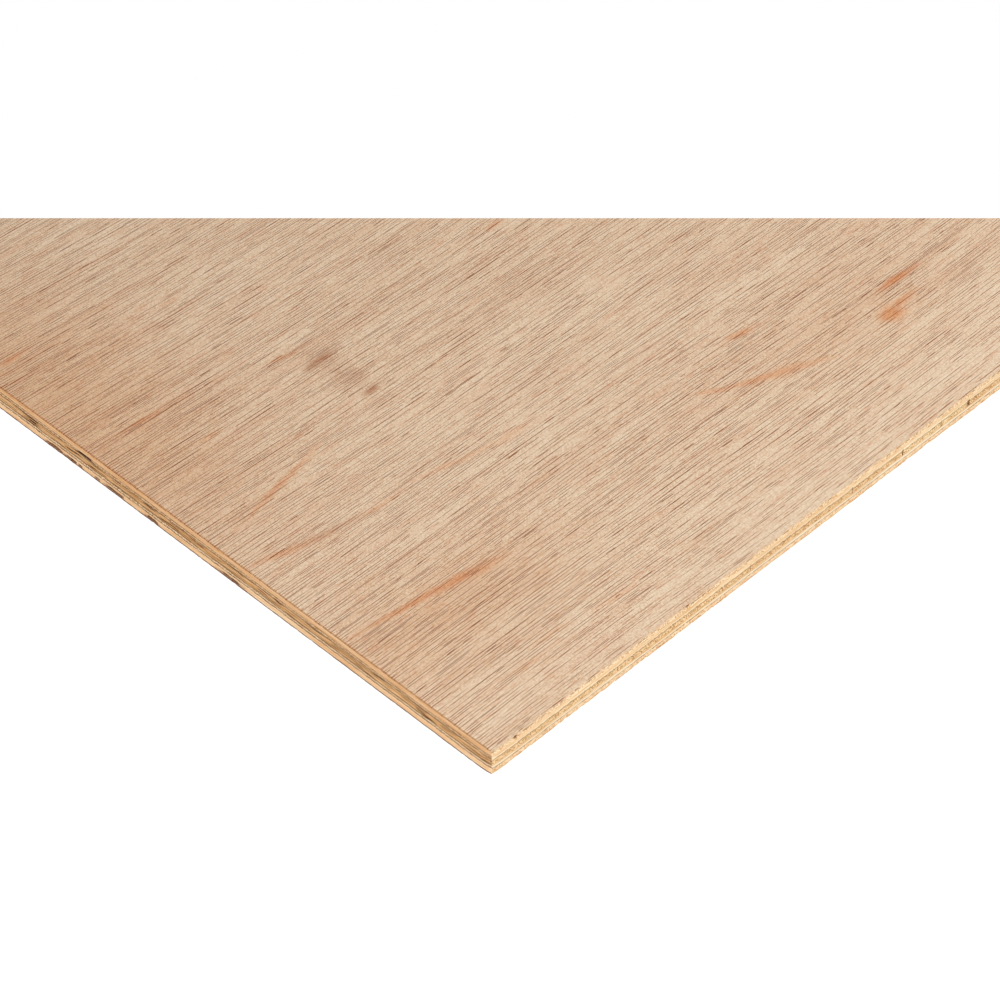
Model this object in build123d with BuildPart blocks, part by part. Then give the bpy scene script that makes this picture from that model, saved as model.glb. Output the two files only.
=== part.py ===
# A seven-ply plywood sheet with hardwood veneers, lying flat with its face up.
# Millimetres. The origin is on the floor under the middle of the sheet, +X runs along the
# length and the face grain, and the corner at low X and low Y is the worn one.
import os

from build123d import *

# Sheet
sheet_length = 2440.0
sheet_width = 1220.0

# Plies. The layup is balanced: each ply above the core has its twin below it.
veneer_thickness = 0.7
crossband_thickness = 3.4
longband_thickness = 2.5
core_thickness = 4.8

# Core strips lie side by side with their grain across the sheet. Each row is a joint:
# its place along the length and its width, as shares of the length and of the widest joint.
widest_core_joint = 2.4
core_joint_shares = [
    (0.082, 0.15),
    (0.117, 0.20),
    (0.135, 0.40),
    (0.149, 0.20),
    (0.159, 1.00),
    (0.208, 0.15),
    (0.231, 0.25),
    (0.296, 0.15),
    (0.338, 0.45),
    (0.389, 0.20),
    (0.447, 0.15),
    (0.471, 0.30),
    (0.536, 0.15),
    (0.592, 0.20),
    (0.618, 0.55),
    (0.677, 0.15),
    (0.731, 0.25),
    (0.769, 0.15),
    (0.834, 0.35),
    (0.872, 0.15),
    (0.938, 0.20),
]

# Saw breakout: splinters that broke off the veneers along the grain of their long edges.
# Each row is a splinter: its start along the length, as a share of the length, then its
# length and its depth, as shares of the longest and the deepest one.
longest_splinter = 40.0
deepest_splinter = 0.6
cut_overrun = 5.0
face_splinter_shares = [
    (0.004, 0.30, 0.90),
    (0.022, 0.70, 0.70),
    (0.048, 0.55, 1.00),
    (0.071, 0.95, 0.80),
    (0.108, 0.60, 0.65),
    (0.131, 0.80, 0.90),
    (0.182, 0.50, 0.60),
    (0.243, 1.00, 0.70),
    (0.329, 0.45, 0.50),
    (0.402, 0.75, 0.80),
    (0.508, 0.60, 0.55),
    (0.573, 0.90, 0.75),
    (0.664, 0.40, 0.60),
    (0.748, 0.85, 0.50),
    (0.823, 0.65, 0.85),
    (0.927, 0.70, 0.60),
]
back_splinter_shares = [
    (0.002, 0.20, 1.00),
    (0.019, 0.35, 0.60),
    (0.037, 0.25, 0.80),
    (0.062, 0.50, 0.50),
    (0.091, 0.30, 0.90),
    (0.117, 0.20, 1.00),
    (0.146, 0.45, 0.60),
    (0.221, 0.55, 0.70),
    (0.345, 0.40, 0.80),
    (0.478, 0.60, 0.50),
    (0.611, 0.35, 0.90),
    (0.756, 0.50, 0.60),
    (0.889, 0.45, 0.80),
]

# Open pockets in the short edge nearest the worn corner, where fibre tore out of a ply.
# Each row is a pocket: its middle along the width, as a share of the width, and its length,
# as a share of the longest pocket.
longest_pocket = 24.0
pocket_reach = 4.0
pocket_height = 0.9
longband_pocket_shares = [(0.265, 0.42)]
crossband_pocket_shares = [(0.164, 1.00), (0.221, 0.45), (0.245, 0.70), (0.290, 0.60)]

# Levels of the undersides of the plies, from the floor up
lower_crossband_level = veneer_thickness
lower_longband_level = lower_crossband_level + crossband_thickness
core_level = lower_longband_level + longband_thickness
upper_longband_level = core_level + core_thickness
upper_crossband_level = upper_longband_level + longband_thickness
face_level = upper_crossband_level + crossband_thickness

# Sides of the sheet
low_x = -sheet_length / 2
low_y = -sheet_width / 2


with BuildPart() as back_veneer:
    with BuildSketch():
        Rectangle(sheet_length, sheet_width)
        for turn in (0, 180):
            for start, length, depth in back_splinter_shares:
                tail = low_x + start * sheet_length
                head = tail + length * longest_splinter
                tip = (head, low_y + depth * deepest_splinter)
                foot = low_y - cut_overrun
                with Locations(Rotation(0, 0, turn)):
                    Polygon((tail, foot), (head, foot), tip, align=None, mode=Mode.SUBTRACT)
    extrude(amount=veneer_thickness)

with BuildPart() as lower_crossband:
    with BuildSketch(Plane.XY.offset(lower_crossband_level)):
        Rectangle(sheet_length, sheet_width)
    extrude(amount=crossband_thickness)
    with BuildSketch(Plane.XY.offset(lower_crossband_level)):
        for middle, length in crossband_pocket_shares:
            with Locations((low_x, low_y + middle * sheet_width)):
                Ellipse(pocket_reach, length * longest_pocket / 2)
    extrude(amount=pocket_height, mode=Mode.SUBTRACT)

with BuildPart() as lower_longband:
    with BuildSketch(Plane.XY.offset(lower_longband_level)):
        Rectangle(sheet_length, sheet_width)
    extrude(amount=longband_thickness)

with BuildPart() as centre_core:
    with BuildSketch(Plane.XY.offset(core_level)):
        Rectangle(sheet_length, sheet_width)
        for place, gap in core_joint_shares:
            with Locations((low_x + place * sheet_length, 0)):
                Rectangle(gap * widest_core_joint, sheet_width + cut_overrun, mode=Mode.SUBTRACT)
    extrude(amount=core_thickness)

with BuildPart() as upper_longband:
    with BuildSketch(Plane.XY.offset(upper_longband_level)):
        Rectangle(sheet_length, sheet_width)
    extrude(amount=longband_thickness)
    with BuildSketch(Plane.XY.offset(upper_crossband_level)):
        for middle, length in longband_pocket_shares:
            with Locations((low_x, low_y + middle * sheet_width)):
                Ellipse(pocket_reach, length * longest_pocket / 2)
    extrude(amount=-pocket_height, mode=Mode.SUBTRACT)

with BuildPart() as upper_crossband:
    with BuildSketch(Plane.XY.offset(upper_crossband_level)):
        Rectangle(sheet_length, sheet_width)
    extrude(amount=crossband_thickness)

with BuildPart() as face_veneer:
    with BuildSketch(Plane.XY.offset(face_level)):
        Rectangle(sheet_length, sheet_width)
        for turn in (0, 180):
            for start, length, depth in face_splinter_shares:
                tail = low_x + start * sheet_length
                head = tail + length * longest_splinter
                tip = (head, low_y + depth * deepest_splinter)
                foot = low_y - cut_overrun
                with Locations(Rotation(0, 0, turn)):
                    Polygon((tail, foot), (head, foot), tip, align=None, mode=Mode.SUBTRACT)
    extrude(amount=veneer_thickness)


plies = {
    "back_veneer": back_veneer,
    "lower_crossband": lower_crossband,
    "lower_longband": lower_longband,
    "centre_core": centre_core,
    "upper_longband": upper_longband,
    "upper_crossband": upper_crossband,
    "face_veneer": face_veneer,
}

os.makedirs("parts", exist_ok=True)
for name, ply in plies.items():
    ply.part.label = name
    export_step(ply.part, f"parts/{name}.step")
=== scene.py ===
import math

import bpy
import numpy as np
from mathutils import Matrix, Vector


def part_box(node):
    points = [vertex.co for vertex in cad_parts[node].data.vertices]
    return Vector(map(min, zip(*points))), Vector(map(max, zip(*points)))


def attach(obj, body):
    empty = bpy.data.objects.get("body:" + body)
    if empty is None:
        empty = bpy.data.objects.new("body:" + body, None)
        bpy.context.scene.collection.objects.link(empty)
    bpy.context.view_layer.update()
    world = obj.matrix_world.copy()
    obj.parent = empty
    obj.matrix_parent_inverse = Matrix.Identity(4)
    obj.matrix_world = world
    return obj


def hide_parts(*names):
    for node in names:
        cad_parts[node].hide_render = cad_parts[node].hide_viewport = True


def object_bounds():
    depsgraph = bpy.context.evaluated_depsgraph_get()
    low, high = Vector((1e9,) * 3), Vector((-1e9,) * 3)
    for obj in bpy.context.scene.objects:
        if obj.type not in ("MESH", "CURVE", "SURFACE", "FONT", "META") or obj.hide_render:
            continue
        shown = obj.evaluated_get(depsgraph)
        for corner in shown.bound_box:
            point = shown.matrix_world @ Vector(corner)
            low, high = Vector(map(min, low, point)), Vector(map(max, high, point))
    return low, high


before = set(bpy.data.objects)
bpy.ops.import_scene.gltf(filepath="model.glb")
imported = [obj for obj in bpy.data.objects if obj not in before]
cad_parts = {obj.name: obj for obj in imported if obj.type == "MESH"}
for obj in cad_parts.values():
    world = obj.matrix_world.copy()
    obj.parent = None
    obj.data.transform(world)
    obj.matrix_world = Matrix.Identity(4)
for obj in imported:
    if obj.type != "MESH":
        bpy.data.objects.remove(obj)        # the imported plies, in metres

cad_box = [list(corner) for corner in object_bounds()]

# Lengths below are millimetres, measured from the worn corner: X runs along the long edge that the
# camera sees, with the face grain, Y along the short edge and Z up from the floor.
MM = 0.001
WORN_CORNER = np.array(cad_box[0])
LENGTH, WIDTH = ((np.array(cad_box[1]) - WORN_CORNER) / MM)[:2]

# Points along a sawn edge: close together on the stretch in view
FINE_STEP = 0.8
COARSE_STEP = 3.0
FINE_REACH = 450.0
EDGE_PLACES = np.concatenate([
    np.arange(0, FINE_REACH, FINE_STEP),
    np.arange(FINE_REACH, LENGTH, COARSE_STEP),
])
RIM = 25.0          # width of the band of faces between an edge and the plain middle of a ply
RIM_STEP = 16       # edge points to each face of that band
RIM_SHARE = 0.3     # widest band on a narrow strip, as a share of its width
SAME_PLACE = 1e-6   # points closer than this are one point

# Texture map of a ply: the share that its top or bottom takes if it shows, the share if neither does, and
# the rows above it that hold the edges. A ply that shows only its edges has rows to suit its girth.
SHOWN_CAP_SHARE, HIDDEN_CAP_SHARE = 0.92, 0.02
SHOWN_CAP_ROWS = 8
ROW_FILL = 0.7
ROW_MARGIN = 0.1
CAP_MARGIN = 0.02

# Faces that never show share small spots of that map: their size, their drop below the rows and their
# places along it
SPOT_SIZE, SPOT_DROP = 0.004, 0.01
TOP_SPOT, BOTTOM_SPOT, JOINT_SPOT = 0.01, 0.02, 0.03


def linear(code):
    """A colour written as sRGB hex, as the linear RGBA that sockets take."""
    parts = [int(code[i:i + 2], 16) / 255 for i in (1, 3, 5)]
    return [p / 12.92 if p <= 0.04045 else ((p + 0.055) / 1.055) ** 2.4 for p in parts] + [1.0]


def add(tree, kind, feeds, read=0, stops=None, **settings):
    """Adds one shader node and returns the output socket to read. Feeds fill its inputs by name or
    place with a socket to link, a hex colour or a value; stops are the places and colours of a ramp."""
    node = tree.nodes.new("ShaderNode" + kind)
    for name, value in settings.items():
        setattr(node, name, value)
    if stops:
        ramp = node.color_ramp.elements
        ramp.remove(ramp[1])
        ramp[0].position = stops[0][0]
        ramp[0].color = linear(stops[0][1])
        for place, code in stops[1:]:
            ramp.new(place).color = linear(code)
    for name, value in feeds.items():
        if isinstance(value, bpy.types.NodeSocket):
            tree.links.new(value, node.inputs[name])
        else:
            node.inputs[name].default_value = linear(value) if isinstance(value, str) else value
    return node.outputs[read]


# Shapes of the sawn edges

def ripple(places, pitch, seed):
    """Smooth random heights from 0 to 1 along an edge, with one knot to each pitch."""
    knots = np.random.default_rng(seed).random(int(LENGTH / pitch) + 3)
    run = places / pitch
    knot = run.astype(int)
    blend = run - knot
    blend = blend * blend * (3 - 2 * blend)
    return knots[knot] * (1 - blend) + knots[knot + 1] * blend


def splinters(places, spacing, longest, deepest, seed):
    """Small breakout: each splinter deepens along the grain and ends in a step."""
    rng = np.random.default_rng(seed)
    depth = np.zeros_like(places)
    for start in np.arange(0, LENGTH, spacing):
        start += spacing * rng.random()
        length = longest * (0.25 + 0.75 * rng.random())
        deep = deepest * rng.random() ** 1.5
        run = (places - start) / length
        depth = np.maximum(depth, np.where((run > 0) & (run < 1), run * deep, 0))
    return depth


def pits(places, rows):
    """Torn-out spots at given places: each row is a place, half a length and a depth."""
    depth = np.zeros_like(places)
    for place, half, deep in rows:
        depth = np.maximum(depth, deep * np.exp(-((places - place) / half) ** 2))
    return depth


def cad_breakout(node, places):
    """The splinters that the solid of a veneer lacks along its near long edge."""
    points = np.array([v.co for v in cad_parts[node].data.vertices])
    points = (points - WORN_CORNER) / MM
    edge = points[points[:, 1] < WIDTH / 2]
    edge = edge[np.lexsort((-edge[:, 1], edge[:, 0]))]
    return np.interp(places, edge[:, 0], edge[:, 1])


def build_ring(box, places, insets):
    """One level of a slab's outline, anticlockwise from above, in from the box by the insets."""
    (x0, y0), (x1, y1) = box
    near, right, far, left = insets

    def spread(along, first, last):
        return first + (along - along[0]) * (last - first) / (along[-1] - along[0])

    sides = [
        np.stack([spread(places[0], x0 + left[0], x1 - right[0]), y0 + near], 1),
        np.stack([x1 - right, spread(places[1], y0 + near[-1], y1 - far[-1])], 1),
        np.stack([spread(places[2], x0 + left[-1], x1 - right[-1]), y1 - far], 1)[::-1],
        np.stack([x0 + left, spread(places[3], y0 + near[0], y1 - far[0])], 1)[::-1],
    ]
    return np.concatenate([side[:-1] for side in sides])


def side_places(low, high, sawn):
    """Places along one side of a slab. A side inside a joint has only its ends."""
    if not sawn:
        return np.array([low, high])
    between = EDGE_PLACES[(EDGE_PLACES > low + FINE_STEP / 2) & (EDGE_PLACES < high - FINE_STEP / 2)]
    return np.concatenate([[low], between, [high]])


class Ply:
    """Collects the faces of one ply's slabs, with their places in its texture map."""

    def __init__(self, node, levels, shown_cap):
        low, high = [(np.array(corner) - WORN_CORNER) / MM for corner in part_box(node)]
        self.node = node
        self.floor, self.height = low[2], high[2] - low[2]
        self.levels = np.array(levels)
        self.points, self.hollow, self.tone = [], [], []
        self.faces, self.maps = [], []
        self.count = 0
        # The sawn edges have rows of their own in the texture map, and a cap that never shows takes next
        # to nothing of it
        girth = 2 * (LENGTH + WIDTH)
        self.cap_share = SHOWN_CAP_SHARE if shown_cap else HIDDEN_CAP_SHARE
        self.shown_cap = shown_cap
        self.rows = SHOWN_CAP_ROWS if shown_cap else int(math.sqrt(ROW_FILL * girth / self.height))
        self.row_length = girth / self.rows
        self.run = 0.0

    def wall_map(self, run, level, sawn):
        """Texture place of a face of the edge, in the row that holds its stretch. The sides of a joint
        get next to nothing."""
        if not sawn:
            foot = self.cap_share - SPOT_DROP
            across, up = (JOINT_SPOT, JOINT_SPOT + SPOT_SIZE), (foot, foot + SPOT_SIZE)
        else:
            row = int(run[0] // self.row_length)
            across = [(r - row * self.row_length) / (self.row_length + 2 * COARSE_STEP) for r in run]
            pitch = (1 - self.cap_share) / self.rows
            up = [self.cap_share + pitch * (row + ROW_MARGIN + (1 - 2 * ROW_MARGIN) * z) for z in level]
        return [(across[0], up[0]), (across[1], up[0]), (across[1], up[1]), (across[0], up[1])]

    def cap_map(self, points, top):
        """Texture place of points of the top or bottom."""
        shown = self.shown_cap == ("top" if top else "bottom")
        size = (1.0, self.cap_share - CAP_MARGIN) if shown else (SPOT_SIZE, SPOT_SIZE)
        spot = (TOP_SPOT if top else BOTTOM_SPOT, self.cap_share - SPOT_DROP)
        corner = (0.0, 0.0) if shown else spot
        return [(corner[0] + size[0] * x / LENGTH, corner[1] + size[1] * y / WIDTH) for x, y in points]

    def slab(self, box, sawn, edges, tone=0.0):
        """Adds one closed slab. Each edge tells how far its side lies inside the box, level by level."""
        (x0, y0), (x1, y1) = box
        places = [side_places(*span, cut) for span, cut in zip(((x0, x1), (y0, y1)) * 2, sawn)]
        depths, torn_and_shaded = [], []
        for edge, place, cut in zip(edges, places, sawn):
            depth, tear = edge(place) if cut else np.zeros((2, len(self.levels), len(place)))
            depths.append(depth)
            torn_and_shaded.append(tear)
        open_side = np.concatenate([np.full(len(place) - 1, cut) for place, cut in zip(places, sawn)])
        first = self.count
        rings = []
        for k, level in enumerate(self.levels):
            rings.append(build_ring(box, places, [d[k] for d in depths]))
            size = len(rings[k])
            z = np.full((size, 1), self.floor + level * self.height)
            self.points.append(np.hstack([rings[k], z]))
            round_trip = [torn_and_shaded[0][k][:-1], torn_and_shaded[1][k][:-1], torn_and_shaded[2][k][:0:-1], torn_and_shaded[3][k][:0:-1]]
            self.hollow.append(np.concatenate(round_trip))
        self.count += size * len(self.levels)
        self.walls(first, rings[0], size, open_side)
        for level, top in ((0, False), (len(self.levels) - 1, True)):
            self.cap(box, rings[level], first + level * size, top, places)
        self.tone.append(np.full(self.count - first, tone))

    def walls(self, first, ring, size, open_side):
        """Adds the faces between the levels."""
        step = np.linalg.norm(np.roll(ring, -1, 0) - ring, axis=1) * open_side
        run = self.run + np.concatenate([[0], np.cumsum(step)])
        self.run = run[-1]
        for k in range(len(self.levels) - 1):
            for i in range(size):
                a, b = first + k * size + i, first + k * size + (i + 1) % size
                self.faces.append((a, b, b + size, a + size))
                stretch = (run[i], run[i + 1])
                rise = (self.levels[k], self.levels[k + 1])
                self.maps.append(self.wall_map(stretch, rise, open_side[i]))

    def cap(self, box, ring, first, top, places):
        """Closes one end: a rim of small faces round one plain face."""
        size = len(ring)
        rim = min(RIM, RIM_SHARE * min(np.subtract(box[1], box[0])))
        inner = np.clip(ring, np.add(box[0], rim), np.subtract(box[1], rim))
        corners = np.cumsum([0] + [len(p) - 1 for p in places])[:4]
        picks = sorted(set(range(0, size, RIM_STEP)) | set(int(c) for c in corners))
        kept, index = [], {}
        for pick in picks:
            if not kept or np.abs(inner[pick] - inner[kept[-1]]).max() > SAME_PLACE:
                kept.append(pick)
            index[pick] = len(kept) - 1
        if np.abs(inner[kept[-1]] - inner[kept[0]]).max() < SAME_PLACE:
            kept.pop()
        base = self.count
        z = np.full((len(kept), 1), self.floor + (self.height if top else 0))
        self.points.append(np.hstack([inner[kept], z]))
        self.hollow.append(np.zeros(len(kept)))
        self.count += len(kept)
        for a, b in zip(picks, picks[1:] + [size]):
            outer = list(range(a, b + 1))
            ia, ib = index[a] % len(kept), index[b % size] % len(kept)
            back = [ib] if ia == ib else [ib, ia]
            face = [first + i % size for i in outer] + [base + i for i in back]
            flat = [ring[i % size] for i in outer] + [inner[kept[i]] for i in back]
            self.cap_face(face, flat, top)
        self.cap_face([base + i for i in range(len(kept))], inner[kept], top)

    def cap_face(self, face, flat, top):
        """Adds one face of the top or bottom, turned outwards."""
        order = 1 if top else -1
        self.faces.append(face[::order])
        self.maps.append(self.cap_map(flat[::order], top))

    def finish(self, slot, finish):
        """Makes the mesh, which stands for its CAD node."""
        mesh = bpy.data.meshes.new(self.node)
        points = np.concatenate(self.points) * MM + WORN_CORNER
        mesh.from_pydata(points.tolist(), [], self.faces)
        layer = mesh.uv_layers.new(name="OFBake")
        layer.data.foreach_set("uv", [v for face in self.maps for place in face for v in place])
        for name, values in (("hollow", self.hollow), ("strip_tone", self.tone)):
            layer = mesh.attributes.new(name, "FLOAT", "POINT")
            layer.data.foreach_set("value", np.concatenate(values))
        mesh.materials.append(finish)
        piece = bpy.data.objects.new("laid_" + self.node, mesh)
        bpy.context.scene.collection.objects.link(piece)
        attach(piece, "root")
        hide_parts(self.node)


# Sawn edges, in the order near long edge, right short edge, far long edge, left short edge

SAW_MARK, SAW_PITCH, SAW_SEED = 0.10, 4.5, 5
GLUE_GROOVE = 0.1
CORNER_WEAR, CORNER_REACH = 0.7, 3.0
END_GRAIN_PITCH, SIDE_GRAIN_PITCH = 1.4, 8.0

# Levels of the points up an edge, as shares of the ply's thickness
THICK_LEVELS = (0.0, 0.07, 0.3, 0.55, 0.8, 0.93, 1.0)
VENEER_LEVELS = (0.0, 0.4, 0.8, 1.0)

# Small splinters along the edges: spacing, greatest length and greatest depth
FACE_CHIPS = (8.0, 14.0, 0.5)
BACK_CHIPS = (3.5, 6.0, 0.6)
BACK_NICKS = (17.0, 5.0, 0.3)
LOWER_CHIPS = (5.0, 6.0, 0.7)

# Knots and pockets along the edges by the worn corner: place, half a length and depth
LOW_KNOTS = [(17.3, 0.85, 2.4)]
HIGH_KNOTS = [(62.7, 0.7, 2.2), (148.5, 0.9, 2.4)]
TALL_POCKETS = [(350.5, 5.6, 3.4), (266.0, 4.6, 2.6)]
THIN_POCKETS = [
    (336.0, 4.4, 2.2), (298.0, 7.5, 2.6), (200.1, 9.0, 2.2), (313.0, 2.3, 1.6), (328.0, 2.0, 1.5),
]
LONGBAND_POCKETS = [(323.0, 5.0, 3.0)]


def sawn_edge(levels, seed, end_grain, rough, tear=None, worn=False):
    """Tells how deep a sawn side lies inside the sheet's outline, at each level and place: saw marks
    that all plies share, loose fibre, a groove at each glue line, a rounded corner, and a tear of its
    own."""
    pitch = END_GRAIN_PITCH if end_grain else SIDE_GRAIN_PITCH
    glued = [0, -1] if levels is THICK_LEVELS else []

    def edge(places):
        depth = np.array([rough * ripple(places, pitch, seed + k) for k in range(len(levels))])
        depth += SAW_MARK * ripple(places, SAW_PITCH, SAW_SEED)
        depth[glued] += GLUE_GROOVE
        if worn:
            depth += CORNER_WEAR * np.exp(-places / CORNER_REACH)
        torn_and_shaded = np.zeros_like(depth)
        if tear:
            torn_and_shaded += tear(places)
        return depth + torn_and_shaded, torn_and_shaded
    return edge


def at_levels(weights, depth):
    """Spreads a tear over the levels of a thick ply."""
    return np.array(weights)[:, None] * depth[None, :]


def whole_ply(node, levels, shown_cap, edges):
    """A ply in one slab."""
    ply = Ply(node, levels, shown_cap)
    ply.slab(((0.0, 0.0), (LENGTH, WIDTH)), (True,) * 4, edges)
    return ply


def lay_face():
    """The face: splintered along the long edges, nicked across the short ones."""
    def near_breakout(places):
        return np.maximum(cad_breakout("face_veneer", places), splinters(places, *FACE_CHIPS, 31))

    def far_breakout(places):
        turned = cad_breakout("face_veneer", LENGTH - places)
        return np.maximum(turned, splinters(places, *FACE_CHIPS, 32))

    def nicks(places):
        return 4.0 * np.clip(ripple(places, 1.3, 33) - 0.8, 0, 1) * ripple(places, 14, 34)

    return whole_ply("face_veneer", VENEER_LEVELS, "top", [
        sawn_edge(VENEER_LEVELS, 40, False, 0.15, near_breakout, worn=True),
        sawn_edge(VENEER_LEVELS, 41, True, 0.25, nicks),
        sawn_edge(VENEER_LEVELS, 42, False, 0.15, far_breakout),
        sawn_edge(VENEER_LEVELS, 43, True, 0.2, nicks, worn=True),
    ])


def lay_back():
    """The back: broken out in many small splinters."""
    def breakout(places):
        return np.maximum(cad_breakout("back_veneer", places), splinters(places, *BACK_CHIPS, 51))

    def nicks(places):
        return splinters(places, *BACK_NICKS, 52)

    return whole_ply("back_veneer", VENEER_LEVELS, "bottom", [
        sawn_edge(VENEER_LEVELS, 60, False, 0.25, breakout, worn=True),
        sawn_edge(VENEER_LEVELS, 61, True, 0.15, nicks),
        sawn_edge(VENEER_LEVELS, 62, False, 0.25, breakout),
        sawn_edge(VENEER_LEVELS, 63, True, 0.15, nicks, worn=True),
    ])


def lay_upper_crossband():
    """Loose under the face, with three knots in its near end grain."""
    def loose_rim(places):
        gaps = 2.6 * np.clip(ripple(places, 5.0, 74) - 0.55, 0, 1) * ripple(places, 23.0, 75)
        return at_levels((0, 0, 0, 0, 0, 0.6, 1), gaps)

    def knots(places):
        low = at_levels((0, 0.3, 0.9, 1, 0.7, 0.1, 0), pits(places, LOW_KNOTS))
        high = at_levels((0, 0, 0.3, 0.8, 1, 0.7, 0.2), pits(places, HIGH_KNOTS))
        return loose_rim(places) + low + high

    return whole_ply("upper_crossband", THICK_LEVELS, "", [
        sawn_edge(THICK_LEVELS, 70, True, 0.16, knots, worn=True),
        sawn_edge(THICK_LEVELS, 71, False, 0.12),
        sawn_edge(THICK_LEVELS, 72, True, 0.16, loose_rim),
        sawn_edge(THICK_LEVELS, 73, False, 0.12, worn=True),
    ])


def lay_lower_crossband():
    """Splintered at its foot, with ragged pockets in the short edge by the worn corner."""
    def splintered(places):
        return at_levels((1, 0.8, 0.35, 0.1, 0, 0, 0), splinters(places, *LOWER_CHIPS, 81))

    def pockets(places):
        ragged = 0.35 + 1.3 * ripple(places, 1.7, 86)
        tall = at_levels((0.9, 1, 0.8, 0.2, 0, 0, 0), ragged * pits(places, TALL_POCKETS))
        thin = at_levels((0.4, 0.9, 0.8, 0.1, 0, 0, 0), ragged * pits(places, THIN_POCKETS))
        return tall + thin

    return whole_ply("lower_crossband", THICK_LEVELS, "", [
        sawn_edge(THICK_LEVELS, 82, True, 0.22, splintered, worn=True),
        sawn_edge(THICK_LEVELS, 83, False, 0.12),
        sawn_edge(THICK_LEVELS, 84, True, 0.22, splintered),
        sawn_edge(THICK_LEVELS, 85, False, 0.12, pockets, worn=True),
    ])


def lay_upper_longband():
    """Rough across its ends, with one pocket by the worn corner."""
    def pocket(places):
        return at_levels((0.2, 0.5, 0.9, 1, 1, 1, 0.8), pits(places, LONGBAND_POCKETS))

    return whole_ply("upper_longband", THICK_LEVELS, "", [
        sawn_edge(THICK_LEVELS, 90, False, 0.10, worn=True),
        sawn_edge(THICK_LEVELS, 91, True, 0.45),
        sawn_edge(THICK_LEVELS, 92, False, 0.10),
        sawn_edge(THICK_LEVELS, 93, True, 0.45, pocket, worn=True),
    ])


def lay_lower_longband():
    """As the upper one, without a pocket."""
    return whole_ply("lower_longband", THICK_LEVELS, "", [
        sawn_edge(THICK_LEVELS, 100, False, 0.10, worn=True),
        sawn_edge(THICK_LEVELS, 101, True, 0.45),
        sawn_edge(THICK_LEVELS, 102, False, 0.10),
        sawn_edge(THICK_LEVELS, 103, True, 0.45, worn=True),
    ])


def lay_core():
    """The core's strips, at the places of the solids, each a little darker or paler than the next."""
    edges = [
        sawn_edge(THICK_LEVELS, 110, True, 0.22, worn=True),
        sawn_edge(THICK_LEVELS, 111, False, 0.3),
        sawn_edge(THICK_LEVELS, 112, True, 0.22),
        sawn_edge(THICK_LEVELS, 113, False, 0.3, worn=True),
    ]
    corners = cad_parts["centre_core"].data.vertices
    ends = sorted({round((corner.co.x - WORN_CORNER[0]) / MM, 3) for corner in corners})
    chance = np.random.default_rng(7)
    ply = Ply("centre_core", THICK_LEVELS, "")
    for x0, x1 in zip(ends[::2], ends[1::2]):
        sawn = (True, x1 > LENGTH - 1, True, x0 < 1)
        ply.slab(((x0, 0.0), (x1, WIDTH)), sawn, edges, tone=chance.random())
    return ply


# Finishes

def blank_material(name):
    """A material with one shader, ready for its patterns."""
    material = bpy.data.materials.new(name)
    material.use_nodes = True
    return material, material.node_tree, material.node_tree.nodes["Principled BSDF"]


WOOD_SHINE = 0.2


def dress(tree, skin, colour, bump):
    """Gives a shader the colour and relief of a bare wood, which has little shine."""
    tree.links.new(colour, skin.inputs["Base Color"])
    tree.links.new(bump, skin.inputs["Normal"])
    skin.inputs["Specular IOR Level"].default_value = WOOD_SHINE


def corner_space(tree):
    """Millimetres from the worn corner."""
    spot = add(tree, "TexCoord", {}, read="Object")
    shift = tuple(-WORN_CORNER / MM)
    return add(tree, "VectorMath", {0: spot, 1: (1 / MM,) * 3, 2: shift}, operation="MULTIPLY_ADD")


def streaks(tree, spot, length, width, detail, seed):
    """Noise about 0.5, drawn out with the grain: one streak is about this long and wide."""
    size = (1 / length, 1 / width, 1 / width)
    start = (seed, 1.7 * seed, 0.3 * seed)
    space = add(tree, "VectorMath", {0: spot, 1: size, 2: start}, operation="MULTIPLY_ADD")
    return add(tree, "TexNoise", {"Vector": space, "Scale": 1.0, "Detail": detail, "Roughness": 0.55})


def level_map(tree, value, low, high, bottom=0.0, top=1.0):
    """Turns a stretch of a pattern into a smooth step."""
    feeds = {0: value, 1: low, 2: high, 3: bottom, 4: top}
    return add(tree, "MapRange", feeds, interpolation_type="SMOOTHSTEP")


def weigh(tree, tone, parts):
    """A tone with shares of several patterns added to it."""
    for pattern, share in parts:
        tone = add(tree, "Math", {0: pattern, 1: share, 2: tone}, operation="MULTIPLY_ADD")
    return tone


def tint(tree, colour, layers):
    """A colour stained by several others, each by its own amount."""
    for amount, stain in layers:
        colour = add(tree, "MixRGB", {0: amount, 1: colour, 2: stain}, blend_type="MULTIPLY")
    return colour


# Marks on the face near the worn corner, as the photo shows them: middle along and across, half a length,
# half a width, turn in degrees and strength. First the orange flames of resin, then the brown smudges.
FLAMES = [
    (55, 104, 56, 2.6, -7, 0.8), (74, 101, 34, 4.2, -8, 0.8), (90, 98, 20, 5.8, -5, 0.55),
    (318, 90, 50, 3.4, -22, 0.65), (326, 87, 24, 5.0, -17, 0.6), (284, 105, 18, 3.2, -30, 0.5),
    (332, 127, 16, 3.6, -9, 0.75), (436, 94, 20, 3.6, 0, 1.0), (409, 76, 12, 8.6, -4, 1.0),
    (422, 79, 16, 3.8, 2, 0.8), (58, 223, 46, 2.8, 12, 0.6), (58, 280, 10, 2.4, 0, 0.45),
    (142, 167, 42, 2.8, -11, 0.4), (178, 161, 22, 2.7, 2, 0.4), (126, 31, 20, 2.8, -6, 0.35),
    (81, 37, 16, 2.0, -1, 0.35), (55, 30, 16, 2.0, -2, 0.35), (130, 301, 13, 2.6, -10, 0.5),
    (40, 317, 18, 2.2, -2, 0.6), (22, 411, 12, 3.0, 0, 0.65), (25, 182, 27, 3.6, -15, 0.55),
    (85, 172, 24, 2.2, -3, 0.4), (117, 384, 12, 2.2, 0, 0.4), (303, 299, 8, 2.4, 0, 0.55),
]
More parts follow.
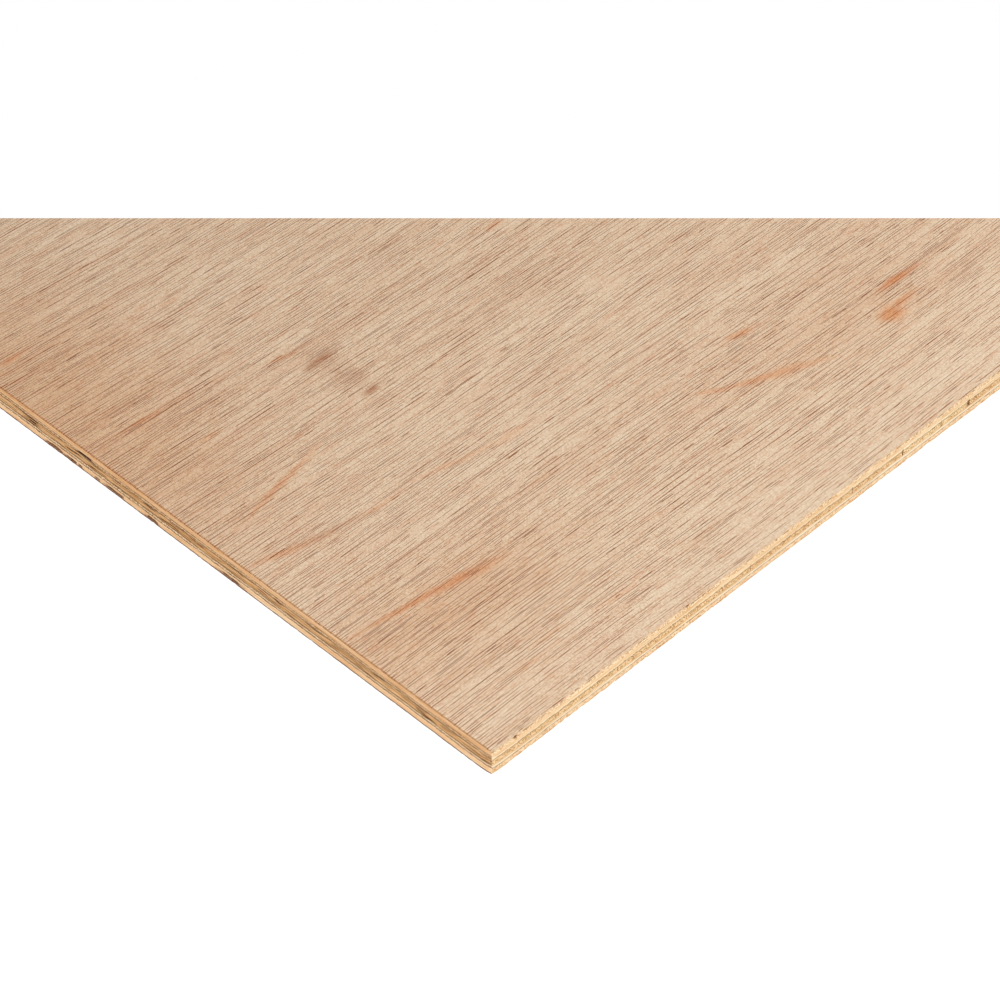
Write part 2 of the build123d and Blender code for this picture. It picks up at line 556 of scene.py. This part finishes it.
SMUDGES = [
    (145, 284, 18, 4.6, 5, 0.95), (150, 244, 10, 3.6, 0, 0.95), (146, 300, 10, 2.2, -6, 0.6),
    (50, 177, 26, 4.5, -8, 0.35), (147, 268, 12, 34, 0, 0.3),
]
# Broad patches where the wood is warmer or paler than around them
WARM_PATCHES = [(0, 360, 110, 190, 0, 1.0), (40, 90, 130, 48, 0, 0.6), (390, 90, 110, 48, 0, 0.4)]
PALE_PATCHES = [(340, 25, 300, 60, 0, 1.0), (230, 180, 190, 70, 0, 0.5)]
THROUGH = 1e6       # half the height of a mark, which runs right through the veneer


def marks(tree, spot, rows):
    """The strongest of several drawn-out marks at each place."""
    total = 0.0
    for x, y, half_length, half_width, turn, strength in rows:
        feeds = {
            "Vector": spot,
            "Location": (x, y, 0),
            "Rotation": (0, 0, math.radians(turn)),
            "Scale": (half_length, half_width, THROUGH),
        }
        place = add(tree, "Mapping", feeds, vector_type="TEXTURE")
        reach = add(tree, "VectorMath", {0: place}, read="Value", operation="LENGTH")
        mark = level_map(tree, reach, 1.25, 0.1, 0.0, strength)
        total = add(tree, "Math", {0: total, 1: mark}, operation="MAXIMUM")
    return total


# How much paler than the wood around it the fibre beside a pore is, as a share of the pore's darkness
SHOULDER = 0.12
# Lengths of the dark beads in a pore and of its sideways drift
BEAD = 9.0
DRIFT = 170.0

# Sets of pores: pitch across the grain, width, length, how scarce, how dark, and a seed. Real pores are
# finer and closer, and would fall between the picture's points, so these are drawn coarser.
FACE_PORES = [
    (1.85, 0.43, 42, 0.36, 0.85, 0.0),
    (2.9, 0.46, 28, 0.46, 1.05, 0.3),
    (6.7, 0.56, 13, 0.60, 1.2, 0.7),
]
BACK_PORES = (1.7, 0.6, 50, 0.44, 1.0, 7.0)

# Depths of the pores in the sanded face and of the loose fibre elsewhere
PORE_DEPTH, FIBRE_DEPTH = 0.08, 0.15

# How far the outline of a flame strays along, across and through the veneer, and the length of one stray
FLAME_STRAY = (14.0, 1.6, 0.0)
STRAY_LENGTH = 50 / 3

# How far in from the long edges the face is sanded smoother and from the short edges it is bruised, and
# how near the edge each is complete
SMOOTH_REACH, SMOOTH_END = 60, 2
BRUISE_REACH, BRUISE_END = 1.1, 0.4


def hairlines(tree, grain, pitch, width, length, scarce, dark, seed):
    """Open pores drawn as hairlines: one to a row, off its middle by chance, beaded along its length,
    with pale shoulders where the fibre beside it stands proud. Scarcer ones leave longer breaks."""
    x = add(tree, "SeparateXYZ", {0: grain}, read="X")
    y = add(tree, "SeparateXYZ", {0: grain}, read="Y")
    across = add(tree, "Math", {0: y, 1: 1 / pitch, 2: seed}, operation="MULTIPLY_ADD")
    row = add(tree, "Math", {0: across}, operation="FLOOR")
    run = add(tree, "Math", {0: row, 1: 3.71}, operation="MULTIPLY")
    chances = []
    for size in (length, BEAD, DRIFT):
        along = add(tree, "Math", {0: x, 1: 1 / size}, operation="MULTIPLY")
        place = add(tree, "CombineXYZ", {"X": along, "Y": run})
        feeds = {"Vector": place, "Scale": 1.0, "Detail": 0.0}
        chances.append(add(tree, "TexNoise", feeds, noise_dimensions="2D"))
    shown, bead, middle = chances
    within = add(tree, "Math", {0: across}, operation="FRACT")
    middle = level_map(tree, middle, 0.2, 0.8, 0.3, 0.7)
    offset = add(tree, "Math", {0: within, 1: middle}, operation="SUBTRACT")
    reach = add(tree, "Math", {0: offset}, operation="ABSOLUTE")
    half = 0.5 * width / pitch
    pore = level_map(tree, reach, half, 0.4 * half, 0.0, 1 + SHOULDER)
    shoulder = level_map(tree, reach, 3 * half, half, 0.0, -SHOULDER)
    line = add(tree, "Math", {0: pore, 1: shoulder}, operation="ADD")
    shown = level_map(tree, shown, scarce, scarce + 0.16)
    bead = level_map(tree, bead, 0.28, 0.68, 0.3 * dark, dark)
    for share in (shown, bead):
        line = add(tree, "Math", {0: line, 1: share}, operation="MULTIPLY")
    return line


def bent_grain(tree, spot):
    """Grain that drifts over half a metre and wobbles a little over a few centimetres."""
    drift = streaks(tree, spot, 420, 200, 1.0, 2.0)
    wobble = streaks(tree, spot, 90, 30, 1.0, 4.0)
    lift = weigh(tree, 0.0, [(wobble, 1.2), (drift, 16.0)])
    return add(tree, "VectorMath", {0: spot, 1: add(tree, "CombineXYZ", {"Y": lift})}, operation="ADD")


def near_edge(tree, spot, axis, size, reach, end):
    """1 along both edges of the sheet that cross an axis, and 0 from some reach inwards."""
    place = add(tree, "SeparateXYZ", {0: spot}, read=axis)
    off_middle = add(tree, "Math", {0: place, 1: size / 2}, operation="SUBTRACT")
    off_middle = add(tree, "Math", {0: off_middle}, operation="ABSOLUTE")
    return level_map(tree, off_middle, size / 2 - reach, size / 2 - end)


def facing(tree, axis):
    """How squarely a face looks along an axis, from 0 to 1."""
    look = add(tree, "SeparateXYZ", {0: add(tree, "NewGeometry", {}, read="True Normal")}, read=axis)
    return level_map(tree, add(tree, "Math", {0: look}, operation="ABSOLUTE"), 0.5, 0.8)


def rotary_cut_face():
    """Light red hardwood, peeled on a lathe and sanded: open pores draw dark hairlines along the
    grain, over soft tan bands, with orange flames where resin stained the wood."""
    material, tree, skin = blank_material("rotary_cut_hardwood_face")
    spot = corner_space(tree)
    grain = bent_grain(tree, spot)
    fibre = streaks(tree, grain, 10, 0.7, 1.0, 6.0)
    mottle = streaks(tree, grain, 0.9, 0.7, 0.0, 3.0)
    silk = streaks(tree, grain, 60, 2.6, 1.0, 9.0)
    crowd = streaks(tree, grain, 110, 9, 2.0, 10.0)
    band = streaks(tree, grain, 350, 24, 2.0, 12.0)
    lines = 0.0
    for pore in FACE_PORES:
        lines = add(tree, "Math", {0: lines, 1: hairlines(tree, grain, *pore)}, operation="ADD")
    frayed = level_map(tree, fibre, 0.3, 0.6, 0.6, 1.0)
    crowded = level_map(tree, crowd, 0.3, 0.65, 0.64, 1.0)
    near_long = near_edge(tree, spot, "Y", WIDTH, SMOOTH_REACH, SMOOTH_END)
    for share in (frayed, crowded, level_map(tree, near_long, 0, 1, 1.0, 0.55)):
        lines = add(tree, "Math", {0: lines, 1: share}, operation="MULTIPLY")
    feeds = {"Vector": spot, "Scale": 1 / STRAY_LENGTH, "Detail": 2.0}
    stray = add(tree, "TexNoise", feeds, read="Color")
    stray = add(tree, "VectorMath", {0: stray, 1: (0.5, 0.5, 0.5)}, operation="SUBTRACT")
    loose = add(tree, "VectorMath", {0: stray, 1: FLAME_STRAY, 2: spot}, operation="MULTIPLY_ADD")
    soaked = level_map(tree, fibre, 0.3, 0.6, 0.75, 1.0)
    flame = add(tree, "Math", {0: marks(tree, loose, FLAMES), 1: soaked}, operation="MULTIPLY")
    smudge = add(tree, "Math", {0: marks(tree, loose, SMUDGES), 1: frayed}, operation="MULTIPLY")
    filled = level_map(tree, flame, 0, 1, 1.0, 0.8)
    open_pores = add(tree, "Math", {0: lines, 1: filled}, operation="MULTIPLY")
    pale = marks(tree, spot, PALE_PATCHES)
    tone = weigh(tree, 0.395, [
        (fibre, 0.14), (mottle, 0.6), (silk, 0.1), (crowd, -0.16), (band, 0.13), (pale, 0.06),
        (open_pores, -2.4),
    ])
    colour = add(tree, "ValToRGB", {0: tone},
                 stops=[(0.0, "#7E4420"), (0.4, "#B6855C"), (0.8, "#DEC1A3"), (1.0, "#E9D5BA")])
    flecks = streaks(tree, grain, 17, 1.9, 1.0, 16.0)
    colour = tint(tree, colour, [
        (level_map(tree, crowd, 0.4, 0.68, 0.0, 0.2), "#F6E0D6"),
        (level_map(tree, flecks, 0.58, 0.72, 0.0, 0.32), "#F0C4B0"),
        (marks(tree, spot, WARM_PATCHES), "#F4E5D8"),
        (flame, "#F6C49C"),
        (smudge, "#C8A088"),
        (near_edge(tree, spot, "X", LENGTH, BRUISE_REACH, BRUISE_END), "#E2C4A2"),
        # Painted shade: the face's walls along the long edges are darkened with grey, drawing a dark line
        # at the veneer's edge
        (facing(tree, "Y"), "#F0EEEE"),
    ])
    bump = add(tree, "Bump", {"Strength": 0.3, "Distance": PORE_DEPTH * MM, "Height": lines}, invert=True)
    rough = level_map(tree, lines, 0.0, 1.0, 0.58, 0.8)
    dress(tree, skin, colour, bump)
    tree.links.new(rough, skin.inputs["Roughness"])
    return material


def unsanded_back():
    """The same wood as the face, left rough from the lathe: redder and darker, with broken brown ends that
    are darkened further as painted shade.
    """
    material, tree, skin = blank_material("unsanded_hardwood_back")
    spot = corner_space(tree)
    grain = bent_grain(tree, spot)
    fibre = streaks(tree, grain, 30, 0.8, 2.0, 26.0)
    band = streaks(tree, grain, 260, 16, 2.0, 22.0)
    lines = hairlines(tree, grain, *BACK_PORES)
    tone = weigh(tree, 0.2, [(fibre, 0.4), (band, 0.6), (lines, -0.5)])
    colour = add(tree, "ValToRGB", {0: tone},
                 stops=[(0.0, "#6E452E"), (0.4, "#A67658"), (0.75, "#C79A78"), (1.0, "#DDB898")])
    clean = level_map(tree, fibre, 0.3, 0.5, 0.5, 0.95)
    planed = add(tree, "Math", {0: facing(tree, "Y"), 1: clean}, operation="MULTIPLY")
    colour = add(tree, "MixRGB", {0: planed, 1: colour, 2: "#E2B988"})
    # Painted shade over dark end grain: the short-edge walls of the back are darkened to brown
    colour = tint(tree, colour, [(facing(tree, "X"), "#866450")])
    bump = add(tree, "Bump", {"Strength": 0.6, "Distance": FIBRE_DEPTH * MM, "Height": tone})
    dress(tree, skin, colour, bump)
    skin.inputs["Roughness"].default_value = 0.8
    return material


# Glue lines between the inner plies: half a width, then height and darkness on the long edges, then the
# same on the short ones
GLUE_LINES = [
    (0.4, 4.1, 0.9, 4.75, 1.0),
    (0.62, 6.6, 0.12, 7.0, 1.0),
    (0.44, 10.15, 0.5, 11.65, 1.0),
    (0.38, 13.9, 0.0, 13.7, 1.0),
]
GLUE_PATCH = 25 / 3     # length of a darker or paler stretch of a line


def stripe(tree, z, height, half):
    """A level line with soft sides."""
    reach = add(tree, "Math", {0: z, 1: height}, operation="SUBTRACT")
    reach = add(tree, "Math", {0: reach}, operation="ABSOLUTE")
    return level_map(tree, reach, half, 0.3 * half)


def glue_stain(tree, spot, z, on_long):
    """Dark lines of hardened glue that soaked into the wood beside each joint."""
    patchy = add(tree, "TexNoise", {"Vector": spot, "Scale": 1 / GLUE_PATCH, "Detail": 2.0})
    patchy = level_map(tree, patchy, 0.3, 0.55, 0.75, 1.0)
    total = 0.0
    for half, long_height, long_dark, short_height, short_dark in GLUE_LINES:
        height = level_map(tree, on_long, 0, 1, short_height, long_height)
        dark = level_map(tree, on_long, 0, 1, short_dark, long_dark)
        line = add(tree, "Math", {0: stripe(tree, z, height, half), 1: dark}, operation="MULTIPLY")
        total = add(tree, "Math", {0: total, 1: line}, operation="MAXIMUM")
    return add(tree, "Math", {0: total, 1: patchy}, operation="MULTIPLY")


# Heights of the bright lines on the long edges, where the saw ran with the grain of the longbands, and
# half their width
BRIGHT_LINES = (4.85, 11.35)
BRIGHT_HALF = 0.55


def bright_line(tree, z):
    """The thin stretch at each longband that the saw burnished; glue stains the rest of it."""
    lines = [stripe(tree, z, height, BRIGHT_HALF) for height in BRIGHT_LINES]
    return add(tree, "Math", {0: lines[0], 1: lines[1]}, operation="MAXIMUM")


# Heights of the tan rim under the face on the long edges, and of the row of dark chips in it
RIM_FOOT, RIM_HEAD = 16.2, 16.8
CHIP_HEIGHT, CHIP_HALF = 16.2, 0.6


def under_face(tree, colour, spot, z, on_long):
    """The saw bruised the wood just under the face on the long edges: tan, with a row of dark chips."""
    rim = level_map(tree, z, RIM_FOOT, RIM_HEAD, 0.0, 0.7)
    rim = add(tree, "Math", {0: on_long, 1: rim}, operation="MULTIPLY")
    colour = add(tree, "MixRGB", {0: rim, 1: colour, 2: "#DABA98"})
    chips = level_map(tree, streaks(tree, spot, 4.5, 3, 2.0, 18.0), 0.53, 0.6, 0.0, 0.8)
    for share in (stripe(tree, z, CHIP_HEIGHT, CHIP_HALF), on_long):
        chips = add(tree, "Math", {0: chips, 1: share}, operation="MULTIPLY")
    return add(tree, "MixRGB", {0: chips, 1: colour, 2: "#6E4A30"})


# Heights over which painted shade comes in on the short edges, full above the higher one, and colours of
# the wood by a bright line
SHADE_FOOT, SHADE_HEAD = 10.5, 13.0
BURNISHED = "#F5E8CC"
STAINED_STOPS = [(0.2, "#D0A068"), (0.65, "#E8C292"), (0.95, "#F4DAB4")]


def sawn_ply(name, across, side_stops, end_stops, vein, speckle, mottle):
    """Peeled wood, sawn through: streaks and dark veins where the saw ran with the grain, and a speckle
    of open vessels where it cut across. Both are drawn coarser than real ones, to show in the picture."""
    material, tree, skin = blank_material(name)
    spot = corner_space(tree)
    x, y, z = [add(tree, "SeparateXYZ", {0: spot}, read=axis) for axis in "XYZ"]
    on_long, on_short = facing(tree, "Y"), facing(tree, "X")
    grain = add(tree, "CombineXYZ", {"X": y, "Y": x, "Z": z}) if across else spot
    fibre = streaks(tree, grain, 45, 0.55, 2.0, 3.0)
    vessel = streaks(tree, grain, 6, 0.9, 0.0, 5.0)
    blotch = streaks(tree, grain, 90, 4.5, 2.0, 11.0)
    band = streaks(tree, grain, 160, 5, 2.0, 7.0)
    veins = level_map(tree, streaks(tree, grain, 20, 0.5, 1.0, 8.0), 0.53, 0.61, 0.0, vein)
    side_tone = weigh(tree, -0.15, [(fibre, 1.5), (band, 0.3), (veins, -1.3)])
    middle = 0.7 - 0.5 * (speckle + mottle)
    end_tone = weigh(tree, middle, [(vessel, speckle), (blotch, mottle)])
    side = add(tree, "ValToRGB", {0: side_tone}, stops=side_stops)
    end = add(tree, "ValToRGB", {0: end_tone}, stops=end_stops)
    if across:
        end = add(tree, "MixRGB", {0: bright_line(tree, z), 1: end, 2: BURNISHED})
    else:
        stained = add(tree, "ValToRGB", {0: side_tone}, stops=STAINED_STOPS)
        side = add(tree, "MixRGB", {0: bright_line(tree, z), 1: stained, 2: side})
    colour = add(tree, "MixRGB", {0: on_short if across else on_long, 1: end, 2: side})
    # Painted shade: the short edges are darkened and yellowed above these heights, as if less light
    # reached the upper plies than the lower ones
    upper = level_map(tree, z, SHADE_FOOT, SHADE_HEAD)
    upper = add(tree, "Math", {0: on_short, 1: upper}, operation="MULTIPLY")
    strip = add(tree, "Attribute", {}, read="Fac", attribute_name="strip_tone")
    strip = level_map(tree, strip, 0, 1, 0.0, 0.6)
    colour = tint(tree, colour, [(upper, "#EEE2D6"), (strip, "#EBD2C0")])
    colour = add(tree, "MixRGB", {0: glue_stain(tree, spot, z, on_long), 1: colour, 2: "#63401F"})
    colour = under_face(tree, colour, spot, z, on_long)
    # Painted shade: the torn-out hollows are darkened by their depth, as shade falls in them, over wood
    # that is somewhat darker where it is torn
    torn_and_shaded = add(tree, "Attribute", {}, read="Fac", attribute_name="hollow")
    torn_and_shaded = level_map(tree, torn_and_shaded, 0.3, 1.2, 0.0, 0.9)
    colour = add(tree, "MixRGB", {0: torn_and_shaded, 1: colour, 2: "#4C2818"})
    bump = add(tree, "Bump", {"Strength": 0.5, "Distance": FIBRE_DEPTH * MM, "Height": fibre})
    dress(tree, skin, colour, bump)
    skin.inputs["Roughness"].default_value = 0.75
    return material


def peeled_crossband():
    """Pale orange ply: peach and smooth on the short edges, finely speckled on the long ones."""
    return sawn_ply("peeled_crossband", True,
                    [(0.2, "#D9A063"), (0.65, "#F6CC9C"), (0.95, "#FCDEB8")],
                    [(0.1, "#C48E56"), (0.7, "#EECB9E"), (1.0, "#F6E0BE")], 0.25, 3.2, 1.3)


def peeled_longband():
    """Cream ply: bright and silky where the saw ran with its grain, grey brown across it."""
    return sawn_ply("peeled_longband", False,
                    [(0.2, "#E6CCA0"), (0.7, "#F5E8CC"), (0.95, "#FAF4E4")],
                    [(0.1, "#A87E58"), (0.7, "#DFB88E"), (1.0, "#F4DCB8")], 0.15, 2.2, 0.4)


def core_strip_wood():
    """Golden brown strips: dark veins on the short edges, mottled end grain on the long ones."""
    return sawn_ply("core_strip_wood", True,
                    [(0.05, "#5A3616"), (0.5, "#D09E62"), (0.9, "#F0C894")],
                    [(0.1, "#A47644"), (0.7, "#E9C48C"), (1.0, "#F8E2B8")], 1.1, 3.2, 1.4)


face = rotary_cut_face()
crossband = peeled_crossband()
longband = peeled_longband()
core = core_strip_wood()

lay_face().finish("face_veneer", face)
lay_upper_crossband().finish("crossband", crossband)
lay_upper_longband().finish("longband", longband)
lay_core().finish("core", core)
lay_lower_longband().finish("longband", longband)
lay_lower_crossband().finish("crossband", crossband)
lay_back().finish("back_veneer", unsanded_back())


# Floor, light and camera

FLOOR_SIZE = 14.0
FLOOR_DROP = 0.2 * MM


def studio_floor():
    """White floor: plain white to the camera, with the sheet's soft shadow left on it."""
    material, tree, skin = blank_material("white_floor")
    skin.inputs["Base Color"].default_value = linear("#E7E7E7")
    skin.inputs["Roughness"].default_value = 0.9
    glow = add(tree, "Emission", {"Color": "#FFFFFF", "Strength": 0.75})
    dim = add(tree, "BsdfDiffuse", {"Color": "#BCBCBC"})
    white = add(tree, "AddShader", {0: glow, 1: dim})
    ray = add(tree, "LightPath", {}, read="Is Camera Ray")
    mix = add(tree, "MixShader", {0: ray, 1: skin.outputs[0], 2: white})
    tree.links.new(mix, tree.nodes["Material Output"].inputs["Surface"])
    mesh = bpy.data.meshes.new("floor")
    half = FLOOR_SIZE / 2
    outline = ((-half, -half), (half, -half), (half, half), (-half, half))
    mesh.from_pydata([(x, y, -FLOOR_DROP) for x, y in outline], [], [(0, 1, 2, 3)])
    mesh.materials.append(material)
    floor = bpy.data.objects.new("floor", mesh)
    bpy.context.scene.collection.objects.link(floor)


SKY_LEVEL = 0.5


def white_world():
    """White to the camera, and an even soft light on the sheet."""
    world = bpy.data.worlds.new("white_studio")
    world.use_nodes = True
    tree = world.node_tree
    tree.nodes.clear()
    seen = 0.0
    for kind in ("Camera", "Glossy", "Transmission"):
        ray = add(tree, "LightPath", {}, read=f"Is {kind} Ray")
        seen = add(tree, "Math", {0: seen, 1: ray}, operation="MAXIMUM")
    strength = add(tree, "MapRange", {0: seen, 3: SKY_LEVEL, 4: 1.0})
    sky = add(tree, "Background", {"Color": "#FFFFFF", "Strength": strength})
    output = tree.nodes.new("ShaderNodeOutputWorld")
    tree.links.new(sky, output.inputs["Surface"])
    bpy.context.scene.world = world


def softbox(name, place, aim, size, power, spread=180):
    """A square lamp of soft white light: place, aim and width in metres, power in watts."""
    lamp = bpy.data.lights.new(name, "AREA")
    lamp.shape = "SQUARE"
    lamp.size = size
    lamp.energy = power
    lamp.spread = math.radians(spread)
    holder = bpy.data.objects.new(name, lamp)
    bpy.context.scene.collection.objects.link(holder)
    holder.location = place
    holder.rotation_euler = (Vector(aim) - Vector(place)).to_track_quat("-Z", "Y").to_euler()


# The camera that was fitted to the photo: place from the worn corner, heading and dip in degrees, lens and
# sensor width, and the nearest and farthest distance that it sees
CAMERA_PLACE = np.array([-800.1, -798.9, 1286.8])
CAMERA_HEADING = 44.734
CAMERA_DIP = 43.936
CAMERA_LENS = 119.28
CAMERA_SENSOR = 36.0
CAMERA_NEAR = 50.0
CAMERA_REACH = 2005.7


def photo_camera():
    """The photo's view of the worn corner. Its reach ends where the photo cuts the sheet off."""
    data = bpy.data.cameras.new("photo_camera")
    data.sensor_width = CAMERA_SENSOR
    data.lens = CAMERA_LENS
    data.clip_start = CAMERA_NEAR * MM
    data.clip_end = CAMERA_REACH * MM
    camera = bpy.data.objects.new("photo_camera", data)
    bpy.context.scene.collection.objects.link(camera)
    camera.location = WORN_CORNER + CAMERA_PLACE * MM
    camera.rotation_euler = (math.radians(90 - CAMERA_DIP), 0, math.radians(CAMERA_HEADING - 90))
    bpy.context.scene.camera = camera


studio_floor()
white_world()
softbox("key_softbox", (-1.2, -1.9, 1.4), (-1.05, -0.5, 0.0), 1.1, 25)
softbox("side_softbox", (-2.5, -0.4, 0.45), (-1.2, -0.4, 0.0), 0.6, 5.5)
softbox("far_softbox", (0.7, 0.15, 1.7), (0.7, 0.15, 0.0), 2.2, 7, spread=70)
photo_camera()
bpy.context.scene.view_settings.view_transform = "Standard"
